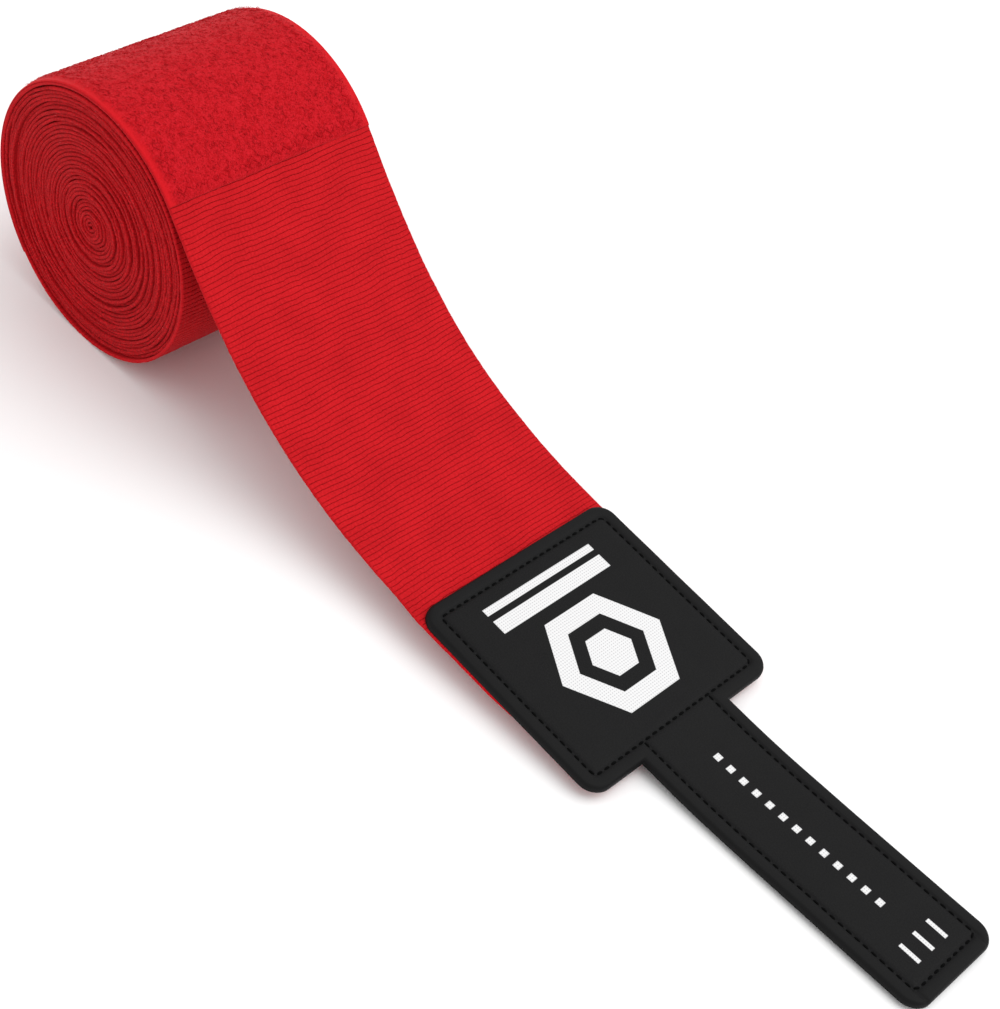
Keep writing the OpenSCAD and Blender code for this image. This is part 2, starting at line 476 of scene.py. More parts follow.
def band_material():
    """Ribbed elastic: grained red, with broken dark lines of painted shade in its grooves."""
    n = Nodes("elastic_band", RED, roughness=0.82, specular=0.12)
    place, _, over = n.strip()
    knit = n.wave(over, KNIT)
    speckle = n.noise(place, scale=2.2, detail=3.0, roughness=0.6)
    broad = n.noise(place, scale=0.12)
    tone = n.total((speckle, 0.8), (broad, 0.35))
    colour = n.mix(n.ramp(tone, 0.35, 0.8), DEEP_RED, BRIGHT_RED)
    colour = n.mix(0.45, colour, RED)
    # painted shade: the grooves are coloured darker in broken dashes, as the rib's hollows would be
    # shaded
    broken = n.ramp(n.noise(place, scale=1.1), 0.3, 0.62)
    dash = n.math("ADD", n.total((broken, 0.5), (knit, 0.15)), 0.35)
    colour = n.mix(n.math("MULTIPLY", n.attribute("groove"), dash), colour, GROOVE_RED)
    # a turn's edge, seen on the roll's end: grained by the cut threads, and darker as painted
    # shade, since the roll's end is lit less than the band's top
    rim = n.attribute("rim")
    grain = n.ramp(n.noise(n.object_mm(), scale=2.8, detail=3.0, roughness=0.7), 0.38, 0.62)
    n.set("Base Color", n.mix(rim, colour, n.mix(grain, DEEP_RED, RIM_RED)))
    n.sheen(0.06, roughness=0.5, tint=(1, 0.25, 0.25))
    rim_grain = n.math("MULTIPLY", grain, rim)
    height = n.total((knit, 0.25), (speckle, 0.9), (rim_grain, 1.5))
    n.bump(height, strength=0.7, distance=0.1*MM)
    return n.material


def pile_material():
    """Brushed loops: mottled, with a brighter smooth margin."""
    n = Nodes("loop_pile", PILE_LIGHT, roughness=0.9, specular=0.1)
    place = n.object_mm()
    fine = n.noise(place, scale=3.2, detail=3.0, roughness=0.7)
    patches = n.noise(place, scale=0.8, detail=3.0, roughness=0.6)
    tone = n.total((fine, 0.9), (patches, 0.35))
    colour = n.mix(n.ramp(tone, 0.46, 0.8), PILE_DARK, PILE_LIGHT)
    margin = n.math("MULTIPLY", n.attribute("margin"), 0.7)
    n.set("Base Color", n.mix(margin, colour, BRIGHT_RED))
    n.sheen(0.16, roughness=0.4, tint=(1, 0.45, 0.45))
    n.bump(fine, strength=0.6, distance=0.15*MM)
    return n.material


def webbing_material():
    """Plain woven webbing."""
    n = Nodes("webbing", DEEP_RED, roughness=0.85)
    _, along, over = n.strip()
    weave = n.math("MULTIPLY", n.wave(along, WEAVE), n.wave(over, WEAVE))
    n.set("Base Color", n.mix(n.ramp(weave, -0.8, 0.8), GROOVE_RED, RED))
    n.bump(weave, strength=0.5, distance=0.1*MM)
    return n.material


# The print, in millimetres along the badge or the strap and out from the middle line
BARS = ((6.4, 8.0), (9.4, 12.6))
BAR_HALF = 14.5
HEXAGON_MIDDLE = 27.0
HEXAGON_RING = (7.6, 11.6)            # from the middle to the flats, inside and outside
HEXAGON_CORE = 4.6
DASH_ROW = (6.4, 48.0)
DASH_PITCH = 3.2
DASH_SHARES = (0.2, 0.62)             # where a dash begins and ends in its pitch
DASH_HALF = 0.75
TICK_ROW = (53.6, 58.0)
TICK_PITCH = 4.0
TICK_HALF = 0.45


def print_mask(n, along, over):
    """1 where the print is: bars and a hexagon on the badge, dashes and ticks on the strap."""
    def below(value, limit, soft=0.06):
        return n.math("SUBTRACT", 1.0, n.ramp(value, limit - soft, limit + soft))

    def between(value, low, high, soft=0.06):
        return both(n.ramp(value, low - soft, low + soft), below(value, high, soft))

    def both(a, b):
        return n.math("MULTIPLY", a, b)

    badge = n.math("SUBTRACT", along, BADGE_S/MM)
    strap = n.math("SUBTRACT", along, STRAP_S/MM)
    wide = n.math("ABSOLUTE", over)
    marks = [both(between(badge, *bar), below(wide, BAR_HALF)) for bar in BARS]
    # distance from the hexagon's middle, measured towards its nearest flat
    down = n.math("ABSOLUTE", n.math("SUBTRACT", badge, HEXAGON_MIDDLE))
    slant = n.total((down, math.cos(math.radians(60))), (wide, math.sin(math.radians(60))))
    hexagon = n.math("MAXIMUM", down, slant)
    marks += [between(hexagon, *HEXAGON_RING), below(hexagon, HEXAGON_CORE)]
    phase = n.math("FRACT", n.math("DIVIDE", strap, DASH_PITCH))
    dashes = both(between(phase, *DASH_SHARES, soft=0.03), below(wide, DASH_HALF))
    marks.append(both(dashes, between(strap, *DASH_ROW)))
    outer_tick = n.math("ABSOLUTE", n.math("SUBTRACT", wide, TICK_PITCH))
    ticks = n.math("MAXIMUM", below(wide, TICK_HALF), below(outer_tick, TICK_HALF))
    marks.append(both(ticks, between(strap, *TICK_ROW)))
    mask = marks[0]
    for mark in marks[1:]:
        mask = n.math("MAXIMUM", mask, mark)
    return mask


def face_material():
    """Coated black fabric, with the white print's fine dots."""
    n = Nodes("coated_face", BLACK, roughness=0.52, specular=0.1)
    place, along, over = n.strip()
    grain = n.noise(place, scale=3.4, detail=4.0, roughness=0.6)
    colour = n.mix(n.ramp(grain, 0.3, 0.75), GRAIN_DARK, GRAIN_LIGHT)
    colour = n.mix(n.attribute("welt"), colour, WELT_BLACK)
    dots = n.math("MULTIPLY", *(n.wave(n.math(way, along, over), DOTS)
                                for way in ("ADD", "SUBTRACT")))
    ink = n.mix(n.ramp(dots, 0.2, 0.8), WHITE, DOT_GREY)
    n.set("Base Color", n.mix(print_mask(n, along, over), colour, ink))
    broad = n.noise(place, scale=0.25)
    n.set("Roughness", n.math("ADD", 0.5, n.math("MULTIPLY", broad, 0.12)))
    n.bump(grain, strength=0.5, distance=0.08*MM)
    return n.material


def plain_material(name, colour, roughness, scale):
    """A small part's material: its colour varies a little, with a fine bump."""
    n = Nodes(name, colour, roughness, specular=0.06)
    speckle = n.noise(n.object_mm(), scale, detail=3.0)
    darker = tuple(0.6*c for c in colour)
    n.set("Base Color", n.mix(n.ramp(speckle, 0.3, 0.7), darker, colour))
    n.bump(speckle, strength=0.4, distance=0.05*MM)
    return n.material


MATERIALS = {
    "band": band_material(),
    "loop_pile": pile_material(),
    "webbing": webbing_material(),
    "coated_face": face_material(),
    "stitching": plain_material("black_thread", THREAD_BLACK, roughness=0.8, scale=4.0),
    "red_thread": plain_material("red_thread", RED, roughness=0.7, scale=4.0),
    "hook_tape": plain_material("hook_tape", TAPE_BLACK, roughness=0.6, scale=3.0),
}


def finish_piece(obj, slot, nodes=(), body=None, material=None):
    """Material of a piece, the CAD nodes it stands for hidden, and the body it is put on, if any.
    """
    obj.data.materials.append(MATERIALS[material or slot])
    if nodes:
        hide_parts(*nodes)
    if body:
        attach(obj, body)
    else:
        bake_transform(obj)
    return obj


# ---------------------------------------------------------------- the band
RIB = 1.03*MM                         # from groove to groove
GROOVE_DEPTH = 0.12*MM
GROOVE_SHARES = np.array([0, 0.11, 0.22, 0.42, 0.58, 0.78, 0.89])   # rows in one rib
EDGE_FINE, EDGE_BORDER = 0.12*MM, 0.5*MM                            # columns near an edge
EDGE_ROUND, EDGE_SLIM = 0.36*MM, 0.06*MM    # an edge's rounding, and its half thickness
TURN_ROUND, TURN_SLIM = 0.3*MM, 0.1*MM      # the same on the turns inside the roll
TURN_INSET = 0.6*MM                         # those turns are narrower by this on each side
TURN_ROW, INNER_ROW = 0.8*MM, 0.5*MM        # from row to row there, and beside the thumb loop
CREST, SWELL = 0.03*MM, 0.04*MM             # a rib's height, and how uneven it is
JOIN = 0.6*MM                               # grooves straighten this close to a piece's end
BESIDE_LOOP = 0.2*MM                        # air between the thumb loop and the turns beside it
# Places along the band, and how far its near edge shows past the badge's there
PAST_BADGE = np.array([(84, 0), (90, 0.45), (110, 0.3), (122, -0.7), (137, -1.2)])*MM
TURN_EDGE_STEPS = np.array([0, 0.05, 0.14, 0.26, 0.4, 0.8, 2.5])*MM


def band_half(s, side):
    """Half width of the band: it shows a hair past the badge on one side, and ends inside it."""
    past = np.interp(s, *PAST_BADGE.T) if side < 0 else 0
    fuzz = (0.035*edge_noise(s, 7.5 + side, 0.5, seed=11)
            + 0.05*edge_noise(s, 3.5 + side, 6, seed=12))*MM
    near = np.clip(STRAP_S - s, 0, CORNER_R)
    corner = CORNER_R - np.sqrt(CORNER_R**2 - (CORNER_R - near)**2)
    return HALF_BAND - 0.08*MM + past + fuzz - corner - 0.3*np.sqrt(corner*MM)


def wound_half(s, side):
    """Half width of the wound band: each turn's edge lies a little in or out of the roll's face."""
    wander = (0.42*edge_noise(s, 3.3 + 9*side, 60/1.7, seed=21)
              + 0.2*edge_noise(s, 5.1 + side, 9, seed=22)
              + 0.1*edge_noise(s, 6.2 + side, 1.1, seed=23))*MM
    return HALF_BAND - TURN_INSET + wander


def rounded(distance, radius):
    """Share of full height at a distance from a rounded edge."""
    x = np.clip(distance/radius, 0, 1)
    return np.sqrt(np.clip(1 - (1 - x)**2, 0, 1))


def thickness(half, slim, edge):
    """Half thickness of a layer: slim at its very edge, half where edge is 1."""
    return slim + (half - slim)*edge


def rib_rows(start, end):
    """Rows along the band, with those in a groove marked 1: more near a groove, and both ends."""
    first, last = math.floor(start/RIB) - 1, math.ceil(end/RIB) + 1
    rows = (np.arange(first, last)[:, None] + GROOVE_SHARES).ravel()*RIB
    depth = np.tile(np.where(GROOVE_SHARES == 0, 1.0, 0.0), last - first)
    inside = (rows > start + 0.03*MM) & (rows < end - 0.03*MM)
    phase = np.array([start, end])/RIB % 1
    ends = np.clip(1 - np.minimum(phase, 1 - phase)/GROOVE_SHARES[1], 0, 1)
    return np.r_[start, rows[inside], end], np.r_[ends[0], depth[inside], ends[1]]


def ribbed_slab(slabs, start, end, columns):
    """A stretch of band with its grooves and edges drawn in full."""
    rows, groove = rib_rows(start, end)
    groove = groove[:, None]
    s = np.broadcast_to(rows[:, None], (len(rows), len(columns)))
    low, high = -band_half(rows, -1)[:, None], band_half(rows, 1)[:, None]
    y = low + (high - low)*(columns - columns[0])/(columns[-1] - columns[0])
    distance = np.minimum(y - low, high - y)
    edge = rounded(distance, EDGE_ROUND)
    free = np.clip(np.minimum(s - start, end - s)/JOIN, 0, 1)
    cut = groove*np.clip(distance/(0.3*MM), 0.35, 1)
    swell = SWELL*fabric_noise(s, y, (0.7, 0.8), seed=8)*free
    crest = (1 - groove)*CREST
    half = BAND_T/2
    body = thickness(half, EDGE_SLIM, edge)
    top = half + body + (crest + swell - cut*GROOVE_DEPTH)*edge
    bottom = half - body + (cut*GROOVE_DEPTH - swell)*edge
    wave = (0.3*fabric_noise(s, y, (9, 8), seed=3)
            + 0.12*fabric_noise(s, y, (1.6, 1.1), seed=5))*RIB*free
    # painted shade: the grooves just in front of the loop patch are coloured darker still
    patch_edge_shade = np.clip(1 - np.abs(s - 1.5*MM)/(3*MM), 0, 1)
    slabs.add(s + wave, y, top, np.maximum(bottom, 0), groove=cut*(1 + 0.5*patch_edge_shade), rim=0.0)


def wound_slab(slabs, rows, low, high):
    """Turns inside the roll, from y = low to high: only their edges are drawn in full."""
    s, low, high = rows[:, None], low[:, None], high[:, None]
    y = np.concatenate([low + TURN_EDGE_STEPS, high - TURN_EDGE_STEPS[::-1]], axis=1)
    distance = np.minimum(y - low, high - y)
    loose = (0.09*edge_noise(s, 2.0 + np.sign(y), 5, seed=31)
             + 0.05*edge_noise(s, 4.0 + np.sign(y), 1.2, seed=32))*MM
    loose = loose*np.clip(1 - distance/(3*MM), 0, 1)
    half = BAND_T/2
    body = thickness(half, TURN_SLIM, rounded(distance, TURN_ROUND))
    # the turns' edges on the roll's end: the band material grains them and darkens them with
    # painted shade
    rim = np.clip(1.6 - distance/(0.6*MM), 0, 1)
    slabs.add(s, y, half + body + loose, half - body + loose, groove=0.0, rim=rim)


def free_band():
    """One piece of band over each hinge of the run and under the badge."""
    columns = across(HALF_BAND, EDGE_FINE, 0.8*MM, EDGE_BORDER)
    names = CHAIN[:1 + RUN_CUTS + BADGE_CUTS]
    for a, b in zip(names, names[1:]):
        start = HELD_S if a == names[0] else MIDDLE[a]
        end = STRAP_S - HEM if b == names[-1] else MIDDLE[b]
        slabs = Slabs(BAND)
        ribbed_slab(slabs, start, end, columns)
        node = b.replace("badge_", "band_end_")
        name = node if node.startswith("band_") else "band_" + node
        piece = finish_piece(slabs.build(name), "band", [node])


def wound_sheet():
    """The wound part of the band, from the leaving point in to the thumb loop, and beside it."""
    loop_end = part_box("thumb_loop")[1].x
    radius = np.hypot(BAND.points[:, 0] - AXIS_X, BAND.points[:, 1] - AXIS_Z)
    bed = BAND.s[np.argmax(radius > loop_end - AXIS_X + pitch/2)]
    slabs = Slabs(BAND)
    ribbed_slab(slabs, RIBBED_S, HELD_S, across(HALF_BAND, EDGE_FINE, 0.9*MM, EDGE_BORDER))
    rows = np.linspace(bed, RIBBED_S, round((RIBBED_S - bed)/TURN_ROW) + 1)
    wound_slab(slabs, rows, -wound_half(rows, -1), wound_half(rows, 1))
    rows = np.linspace(BAND.s[0], bed, round((bed - BAND.s[0])/INNER_ROW) + 1)
    inside = HALF_LOOP + BESIDE_LOOP
    wound_slab(slabs, rows, -wound_half(rows, -1), np.full_like(rows, -inside))
    wound_slab(slabs, rows, np.full_like(rows, inside), wound_half(rows, 1))
    piece = finish_piece(slabs.build("wound_band_sheet"), "band", ["wound_band"], body="roll")


def thumb_loop():
    """The folded webbing of the thumb loop, wound in the middle of the roll."""
    low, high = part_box("thumb_loop")
    line = Line(*spiral((high.x - low.x)/2 - LOOP_T, (LOOP_T + TURN_GAP)/2))
    slabs = Slabs(line)
    rows = np.linspace(0, line.s[-1], 120)
    columns = across(HALF_LOOP, fine=0.15*MM, coarse=1.5*MM, border=0.6*MM)
    s, y = np.meshgrid(rows, columns, indexing="ij")
    edge = rounded(HALF_LOOP - np.abs(y), radius=0.4*MM)
    body = thickness(LOOP_T/4 - 0.01*MM, slim=0.05*MM, edge=edge)
    for middle in (LOOP_T/4, 3*LOOP_T/4):
        slabs.add(s, y, middle + body, middle - body)
    piece = finish_piece(slabs.build("thumb_loop_webbing"), "webbing", ["thumb_loop"], body="roll")


# ---------------------------------------------------------------- the loop patch
PATCH_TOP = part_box("loop_patch")[1].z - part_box("wound_band")[1].z + BAND_T
PATCH_HALF = HALF_BAND - 0.1*MM
PILE_CELL = 0.42*MM                   # the patch's grid
MARGIN = 1.7*MM                       # smooth selvedge beside the pile
PILE_RISE = 1.2*MM                    # the pile reaches its height this far from the edge
LUMPS = 0.16*MM                       # height of its lumps
HAIRS = 15000
HAIR_RADIUS = 0.045*MM*np.array([1, 1, 0.9, 0.8, 0.5])


def patch_margin(s, y):
    """1 on the smooth selvedge beside the pile, 0 in the pile."""
    edge = HALF_BAND - np.abs(y)
    wander = 0.35*MM*fabric_noise(s, y, (1.4, 2), seed=41)
    return 1 - np.clip((edge + wander - MARGIN + 0.8*MM)/PILE_RISE, 0, 1)


def loop_patch():
    """The patch's ground, lumpy where the pile stands and thin along its edges."""
    inner = np.linspace(-PATCH_LENGTH + 0.1*MM, -0.5*MM, round(PATCH_LENGTH/PILE_CELL))
    rows = np.r_[-PATCH_LENGTH, inner, np.array([-0.3, -0.15, -0.05, 0])*MM]
    s, y = np.meshgrid(rows, across(PATCH_HALF, EDGE_FINE, PILE_CELL, EDGE_BORDER), indexing="ij")
    distance = np.minimum(PATCH_HALF - np.abs(y), np.minimum(-s, s + PATCH_LENGTH))
    margin = patch_margin(s, y)
    pile = (1 - margin)*np.clip(distance/PILE_RISE, 0, 1)
    lumps = (0.5*fabric_noise(s, y, (0.5, 0.5), seed=42)
             + 0.5*fabric_noise(s, y, (1.3, 1.3), seed=43))
    height = PATCH_TOP - BAND_T
    base = 0.5*height*(1 + pile) + LUMPS*lumps*pile
    top = BAND_T + thickness(base, slim=0.08*MM, edge=rounded(distance, radius=0.35*MM))
    slabs = Slabs(BAND)
    slabs.add(s, y, top, BAND_T + 0.02*MM, margin=margin)
    piece = finish_piece(slabs.build("loop_patch_ground"), "loop_pile", ["loop_patch"], body="roll")


def pile_loops():
    """The brushed pile: short bent hairs all over the patch."""
    random = np.random.RandomState(51)
    s = -random.uniform(0.4*MM, PATCH_LENGTH - 0.4*MM, HAIRS)
    y = random.uniform(-1, 1, HAIRS)*(HALF_BAND - 1.1*MM)
    keep = patch_margin(s, y) < 0.45
    s, y = s[keep, None], y[keep, None]
    angle = random.uniform(0, 2*math.pi, s.shape)
    length = random.uniform(0.5, 1.1, s.shape)*MM
    lift = random.uniform(0.14, 0.36, s.shape)*MM
    curl = random.uniform(-0.9, 0.9, s.shape)
    t = np.linspace(0, 1, len(HAIR_RADIUS))
    way = angle + curl*t
    step = length/len(t)
    along = np.clip(s + np.cumsum(np.cos(way), 1)*step, -PATCH_LENGTH, -0.1*MM)
    over = y + np.cumsum(np.sin(way), 1)*step
    height = PATCH_TOP - 0.12*MM + np.sin(math.pi*0.85*t)*lift
    piece = tubes("loop_patch_pile", np.stack([along, over, height], -1), HAIR_RADIUS, sides=3)
    finish_piece(piece, "loop_pile", body="roll")


def zigzag():
    """Red zigzag thread that sews the patch down along its front edge and sides."""
    reach, step = 1.1*MM, 1.3*MM
    front, side_edge = -1.3*MM, HALF_BAND - 2.6*MM
    ends = []
    for i in range(int((2*HALF_BAND - 5*MM)/step)):
        y = -HALF_BAND + 2.5*MM + i*step
        a, b = (front, front - reach) if i % 2 else (front - reach, front)
        ends.append([(a, y), (b, y + step)])
    for side in (-1, 1):
        for i in range(int((PATCH_LENGTH - 4*MM)/step)):
            s = -2*MM - i*step
            a, b = (0, reach) if i % 2 else (reach, 0)
            ends.append([(s, side*(side_edge - a)), (s - step, side*(side_edge - b))])
    ends = np.array(ends)
    t = np.linspace(0, 1, 5)
    line = ends[:, :1]*(1 - t[:, None]) + ends[:, 1:]*t[:, None]
    height = PATCH_TOP - 0.06*MM + 0.14*MM*np.sin(math.pi*t)
    height = np.broadcast_to(height[:, None], (len(line), len(t), 1))
    piece = tubes("loop_patch_thread", np.concatenate([line, height], -1), 0.07*MM, sides=6)
    finish_piece(piece, "band", body="roll", material="red_thread")


# ---------------------------------------------------------------- badge and strap
FAR = 1.0                             # further than anything here
STITCH_PITCH = 1.85*MM
STITCH_LENGTH = 1.35*MM
STITCH_RADIUS = 0.22*MM*np.array([0.5, 0.85, 1, 1, 1, 0.85, 0.5])
EDGE_STEPS = np.array([0, 0.08, 0.2, 0.38, 0.6, 0.85])*MM
SEAM_STEPS = np.array([-0.7, -0.45, -0.22, 0, 0.22, 0.45, 0.7])*MM
INSET_STEPS = np.array([1.3, 1.8, 2.3])*MM
SEAM_PULL, SEAM_WIDTH = 0.3*MM, 0.45*MM       # how deep and wide the stitching pulls in
PADDING, PADDING_RISE = 0.14*MM, 5*MM         # height of the middle, and the width it rises over
BORDER = 0.1*MM                               # height of the border outside the stitching
FACE_ROUND, FACE_EDGE = 0.75*MM, 0.3          # the edge's rounding, and its share of the height
FACE_ROW, FACE_COLUMN = 0.45*MM, 0.8*MM
BADGE_BOX = (BADGE_S, STRAP_S, HALF_BADGE)
STRAP_BOX = (STRAP_S - 3*CORNER_R, TIP_S, HALF_STRAP)     # it starts well inside the badge


def box_distance(s, y, start, end, half):
    """How far inside a rectangle with rounded corners a point is."""
    a = np.abs(s - (start + end)/2) - (end - start)/2 + CORNER_R
    b = np.abs(y) - half + CORNER_R
    outside = np.hypot(np.maximum(a, 0), np.maximum(b, 0)) + np.minimum(np.maximum(a, b), 0)
    return CORNER_R - outside


def outline_half(s, start, end, half):
    """Half width of a rectangle with rounded corners at s."""
    near = np.clip(np.minimum(s - start, end - s), 0, CORNER_R)
    return half - CORNER_R + np.sqrt(CORNER_R**2 - (CORNER_R - near)**2)


def seam_distance(s, y):
    """Distance to the nearest line of stitching."""
    badge = np.abs(box_distance(s, y, *BADGE_BOX) - STITCH_INSET)
    badge = np.where(s > STRAP_S, FAR, badge)
    line = HALF_STRAP - STITCH_INSET
    side = np.where(s > STRAP_S - STITCH_INSET, np.abs(line - np.abs(y)), FAR)
    tip = np.where(np.abs(y) < line, np.abs(TIP_S - STITCH_INSET - s), FAR)
    return np.minimum(badge, np.minimum(side, tip))


def face_heights(s, y):
    """Top of the coated sheet: rounded edge, full border, sunk stitching, and a padded middle."""
    distance = np.maximum(box_distance(s, y, *BADGE_BOX), box_distance(s, y, *STRAP_BOX))
    distance = np.maximum(distance, 0)
    pull = SEAM_PULL*np.exp(-(seam_distance(s, y)/SEAM_WIDTH)**2)
    inside = np.clip((distance - STITCH_INSET)/PADDING_RISE, 0, 1)
    middle = PADDING*inside*(2 - inside)
    border = BORDER*np.sin(math.pi*np.clip(distance/STITCH_INSET, 0, 1))
    wave = 0.05*MM*fabric_noise(s, y, (7, 7), seed=61)
    level = FACE_T - 0.12*MM + border + middle + wave - pull
    edge = thickness(1, FACE_EDGE, rounded(distance, FACE_ROUND))
    welt = np.clip((STITCH_INSET - distance)/(0.4*MM), 0, 1)
    return BAND_T + level*edge, welt


def squeeze(columns, half, now, fixed):
    """Columns drawn in beyond a fixed place so that they end at the outline."""
    scale = (now - fixed)/(half - fixed)
    size = np.abs(columns)
    return np.sign(columns)*np.where(size > fixed, fixed + (size - fixed)*scale, size)


def thinned(places, low, high, gap):
    """Places from low to high in order, without those closer than gap to the one before."""
    places = np.unique(np.round(places[(places >= low) & (places <= high)], 6))
    return places[np.r_[True, np.diff(places) > gap]]


def face_columns(half):
    """Column places from the middle line out, with extra ones at the edge and the stitching."""
    even = np.arange(0, half - 1.2*MM, FACE_COLUMN)
    marks = np.r_[half - EDGE_STEPS, half - STITCH_INSET + SEAM_STEPS, even]
    marks = thinned(marks, 0, half, 0.06*MM)
    marks[-1] = half
    return marks


def face_rows(start, end, marks):
    """Rows between two stations, with the marked ones among them."""
    even = np.linspace(start, end, max(2, round((end - start)/FACE_ROW) + 1))
    rows = thinned(np.concatenate([even, *marks]), start, end, 0.05*MM)
    rows[0], rows[-1] = start, end
    return rows


right_columns = face_columns(HALF_STRAP)
STRAP_COLUMNS = np.r_[-right_columns[:0:-1], right_columns]
outer_columns = face_columns(HALF_BADGE)
outer_columns = outer_columns[outer_columns > HALF_STRAP + 0.1*MM]
BADGE_COLUMNS = np.r_[-outer_columns[::-1], STRAP_COLUMNS, outer_columns]
BESIDE_STRAP = np.abs((BADGE_COLUMNS[1:] + BADGE_COLUMNS[:-1])/2) >= HALF_STRAP


def face_slab(slabs, start, end, marks, columns, box, fixed, **caps):
    """A stretch of the coated sheet. Its columns beyond fixed are drawn in to the box's outline."""
    rows = face_rows(start, end, marks)
    half = box[-1]
    y = np.array([squeeze(columns, half, now, fixed) for now in outline_half(rows, *box)])
    s = np.broadcast_to(rows[:, None], y.shape)
    top, welt = face_heights(s, y)
    slabs.add(s, y, top, BAND_T + 0.01*MM, welt=welt, **caps)


def badge_slab(slabs, start, end, **caps):
    """A stretch of the badge."""
    seams = (BADGE_S + STITCH_INSET, STRAP_S - STITCH_INSET)
    marks = [BADGE_S + EDGE_STEPS, STRAP_S - EDGE_STEPS, BADGE_S + INSET_STEPS]
    marks += [seam + SEAM_STEPS for seam in seams]
    face_slab(slabs, start, end, marks, BADGE_COLUMNS, BADGE_BOX, HALF_STRAP, **caps)


def strap_slab(slabs, start, end, **caps):
    """A stretch of the strap."""
    marks = [TIP_S - EDGE_STEPS, TIP_S - STITCH_INSET + SEAM_STEPS]
    face_slab(slabs, start, end, marks, STRAP_COLUMNS, STRAP_BOX, HALF_STRAP/2, **caps)


def face_pieces():
    """The T-shaped coated sheet, cut at the middles of its moving lengths."""
    names = CHAIN[1 + RUN_CUTS:]
    for a, b in zip(names, names[1:]):
        start = BADGE_S if a == names[0] else MIDDLE[a]
        end = TIP_S if b == names[-1] else MIDDLE[b]
        slabs = Slabs(BAND)
        if end <= STRAP_S:
            badge_slab(slabs, start, end)
        elif start >= STRAP_S:
            strap_slab(slabs, start, end)
        else:
            badge_slab(slabs, start, STRAP_S, end_cap=BESIDE_STRAP)
            open_end = np.zeros(len(STRAP_COLUMNS) - 1, bool)
            strap_slab(slabs, STRAP_S, end, start_cap=open_end)
        nodes = [a, b] if a == names[0] else [b]
        finish_piece(slabs.build("face_" + b, weld=True), "coated_face", nodes)


def seam_paths():
    """Centre lines of the stitching as points (s, y): round the badge, and down the strap."""
    top, foot = BADGE_S + STITCH_INSET, STRAP_S - STITCH_INSET
    wide = HALF_BADGE - STITCH_INSET
    turn = CORNER_R - STITCH_INSET
    bend = np.linspace(0, math.pi/2, 5)
    centres = [(top + turn, wide - turn), (top + turn, turn - wide),
               (foot - turn, turn - wide), (foot - turn, wide - turn)]
    ring = []
    for quarter, (s, y) in enumerate(centres, 1):
        angle = quarter*math.pi/2 + bend
        ring.append(np.stack([s + turn*np.cos(angle), y + turn*np.sin(angle)], 1))
    ring.append(ring[0][:1])
    side, tip = HALF_STRAP - STITCH_INSET, TIP_S - STITCH_INSET
    corner = np.stack([tip - turn + turn*np.sin(bend), side - turn + turn*np.cos(bend)], 1)
    strap = [[(foot, -side)], corner*(1, -1), corner[::-1], [(foot, side)]]
    return [np.concatenate(ring), np.concatenate(strap)]


def stitches():
    """The two ends of every stitch as (s, y)."""
    out = []
    for path in seam_paths():
        way = np.r_[0, np.cumsum(np.linalg.norm(np.diff(path, axis=0), axis=1))]
        count = round(way[-1]/STITCH_PITCH)
        middle = (np.arange(count) + 0.5)*way[-1]/count
        ends = [np.stack([np.interp(middle + step, way, place) for place in path.T], 1)
                for step in (-STITCH_LENGTH/2, STITCH_LENGTH/2)]
        out += list(zip(*ends))
    return out


def thread_node(body):
    """The CAD node of the stitching on a body of the badge or the strap."""
    if body == "strap_root":
        return "strap_root_stitching"
    part, number = body.split("_")
    return f"{part}_stitching_{number}"


def thread_pieces():
    """The running stitch, in the same lengths as the coated sheet."""
    names = CHAIN[1 + RUN_CUTS:]
    everything = stitches()
    t = np.linspace(0, 1, len(STITCH_RADIUS))
    for a, b in zip(names, names[1:]):
        start = -FAR if a == names[0] else MIDDLE[a]
        end = FAR if b == names[-1] else MIDDLE[b]
        paths = []
        for p, q in everything:
            if start <= (p[0] + q[0])/2 < end:
                line = p*(1 - t[:, None]) + q*t[:, None]
                ground, _ = face_heights(*line.T)
                height = ground + (0.2*np.sin(math.pi*t)**0.5 - 0.1)*MM
                paths.append(np.column_stack([line, height]))
        piece = tubes("thread_" + b, paths, STITCH_RADIUS, sides=8, flatten=0.7)
        nodes = [thread_node(x) for x in ((a, b) if a == names[0] else (b,))]
        finish_piece(piece, "stitching", nodes)


# ---------------------------------------------------------------- hook tape
HOOK_STEP_S, HOOK_STEP_Y = 1.0*MM, 1.15*MM
HOOK_HEIGHT = 0.41*MM
TAPE_LIFT = 0.5*MM                    # of the tape itself above the lowest point of its CAD solid
# A hook's side view: along the tape in millimetres, and down as a share of its height
HOOK_SHAPE = [(0, 0.03), (0, -0.55), (0.08, -0.95), (0.24, -1.0), (0.34, -0.7)]


def hook_pieces():
    """The hook tape under the strap, and its hooks, in pieces cut where the strap's are."""
    names = [name for name in CHAIN if name.startswith("strap_") and name != "strap_root"]
    tape_end = STATIONS[-2] + 0.85*(STATIONS[-1] - STATIONS[-2])
    ground = HOOK_BOTTOM + TAPE_LIFT
    columns = across(HALF_HOOK, fine=0.15*MM, coarse=1.5*MM, border=0.5*MM)
    for a, b in zip(names, names[1:]):
        start = ROOT_END + 0.1*MM if a == names[0] else MIDDLE[a]
        end = tape_end if b == names[-1] else MIDDLE[b]
        rows = np.linspace(start, end, max(2, round((end - start)/(0.8*MM)) + 1))
        s, y = np.meshgrid(rows, columns, indexing="ij")
        slabs = Slabs(BAND)
        underside = ground + 0.03*MM*fabric_noise(s, y, (1, 1), seed=71)
        slabs.add(s, y, BAND_T - 0.01*MM, underside)
        nodes = [x.replace("strap_", "hook_tape_") for x in ((a, b) if a == names[0] else (b,))]
        tape = finish_piece(slabs.build("tape_" + b), "hook_tape", nodes)
        finish_piece(hook_rows("hooks_" + b, start, end, ground), "hook_tape")


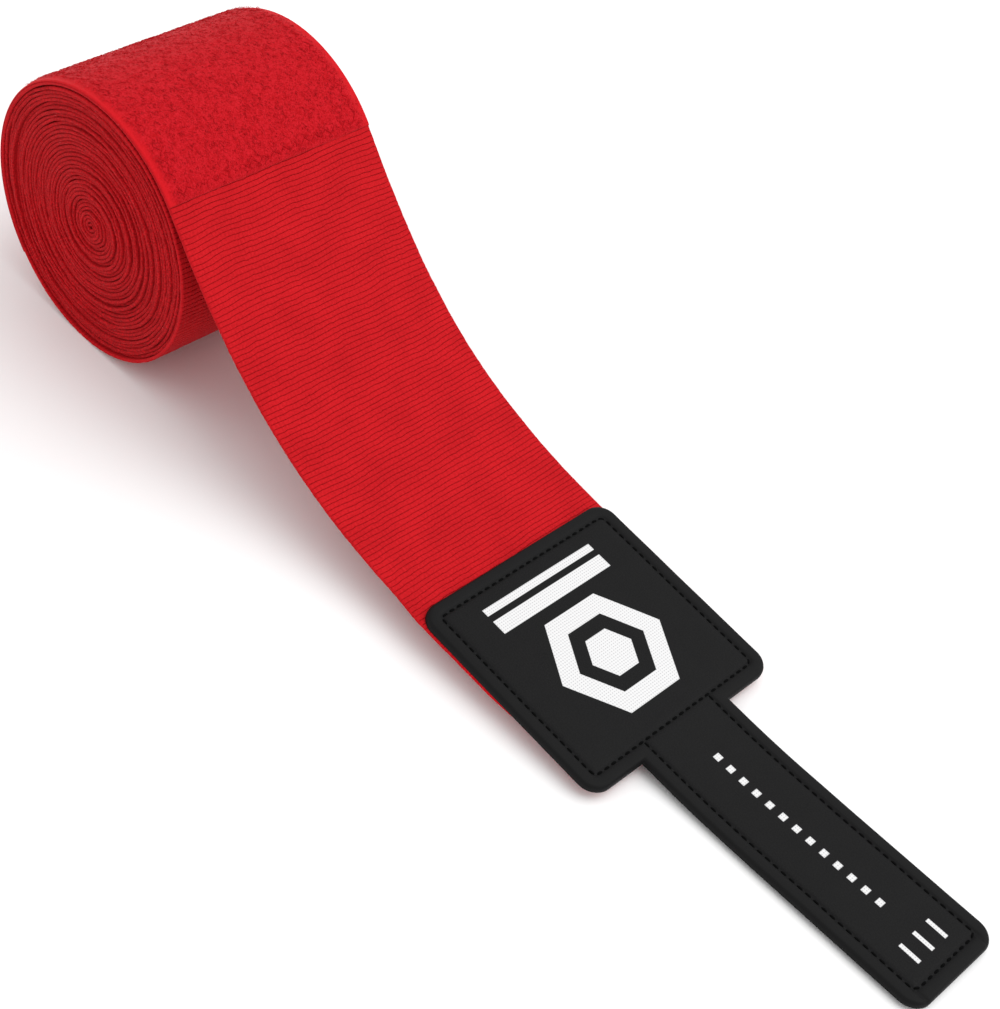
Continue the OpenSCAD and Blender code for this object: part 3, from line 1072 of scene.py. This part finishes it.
def hook_rows(name, start, end, ground):
    """Small crooked hooks hanging from the tape, every other row facing the other way."""
    paths = []
    for i in range(math.ceil(start/HOOK_STEP_S), math.ceil(end/HOOK_STEP_S)):
        for j, y in enumerate(np.arange(-HALF_HOOK + 1*MM, HALF_HOOK - 0.9*MM, HOOK_STEP_Y)):
            way, s = (1, (i + 0.5)*HOOK_STEP_S) if j % 2 else (-1, i*HOOK_STEP_S)
            if s <= end:
                paths.append([(s + way*x*MM, y, ground + z*HOOK_HEIGHT) for x, z in HOOK_SHAPE])
    return tubes(name, paths, 0.085*MM, sides=4)


# ---------------------------------------------------------------- camera, light and floor
def add_object(name, data):
    """A new object in the scene."""
    obj = bpy.data.objects.new(name, data)
    bpy.context.scene.collection.objects.link(obj)
    return obj


def camera():
    """A long lens from the front right, above the badge."""
    data = bpy.data.cameras.new("camera")
    data.lens = 74.9
    data.sensor_width = 36
    data.clip_start, data.clip_end = 0.01, 20
    obj = add_object("camera", data)
    place = Vector((0.1590, -0.2307, 0.2924))
    back = Vector((0.3982, -0.5884, 0.7037)).normalized()
    right = Vector((0.6936, 0.6951, 0.1888))
    right = (right - right.dot(back)*back).normalized()
    turn = Matrix((right, back.cross(right), back)).transposed()
    obj.matrix_world = Matrix.Translation(place) @ turn.to_4x4()
    bpy.context.scene.camera = obj


def area_light(name, place, target, side, power):
    """A square white light."""
    data = bpy.data.lights.new(name, "AREA")
    data.shape = "RECTANGLE"
    data.size = data.size_y = side
    data.energy = power
    obj = add_object(name, data)
    obj.location = place
    aim = Vector(target) - Vector(place)
    obj.rotation_euler = aim.to_track_quat("-Z", "Y").to_euler()


def studio():
    """Even white light from all round, a soft key from behind, and a white floor."""
    bpy.context.scene.view_settings.view_transform = "Standard"
    world = bpy.data.worlds.new("studio")
    world.use_nodes = True
    background = world.node_tree.nodes["Background"]
    background.inputs["Color"].default_value = (1, 1, 1, 1)
    background.inputs["Strength"].default_value = 0.88
    bpy.context.scene.world = world
    area_light("key", (0.35, 0.35, 0.9), target=(0, 0, 0.02), side=1.1, power=6.5)
    area_light("side", (-0.6, -0.5, 0.5), target=(-0.05, 0, 0.02), side=0.6, power=0.4)
    reach = 6.0
    corners = [(-reach, -reach, 0), (reach, -reach, 0), (reach, reach, 0), (-reach, reach, 0)]
    mesh = bpy.data.meshes.new("floor")
    mesh.from_pydata(corners, [], [(0, 1, 2, 3)])
    mesh.materials.append(Nodes("paper", PAPER, roughness=0.9).material)
    floor = add_object("floor", mesh)
    floor.location.z = -0.1*MM


camera()
studio()
thumb_loop()
wound_sheet()
free_band()
loop_patch()
pile_loops()
zigzag()
face_pieces()
thread_pieces()
hook_pieces()
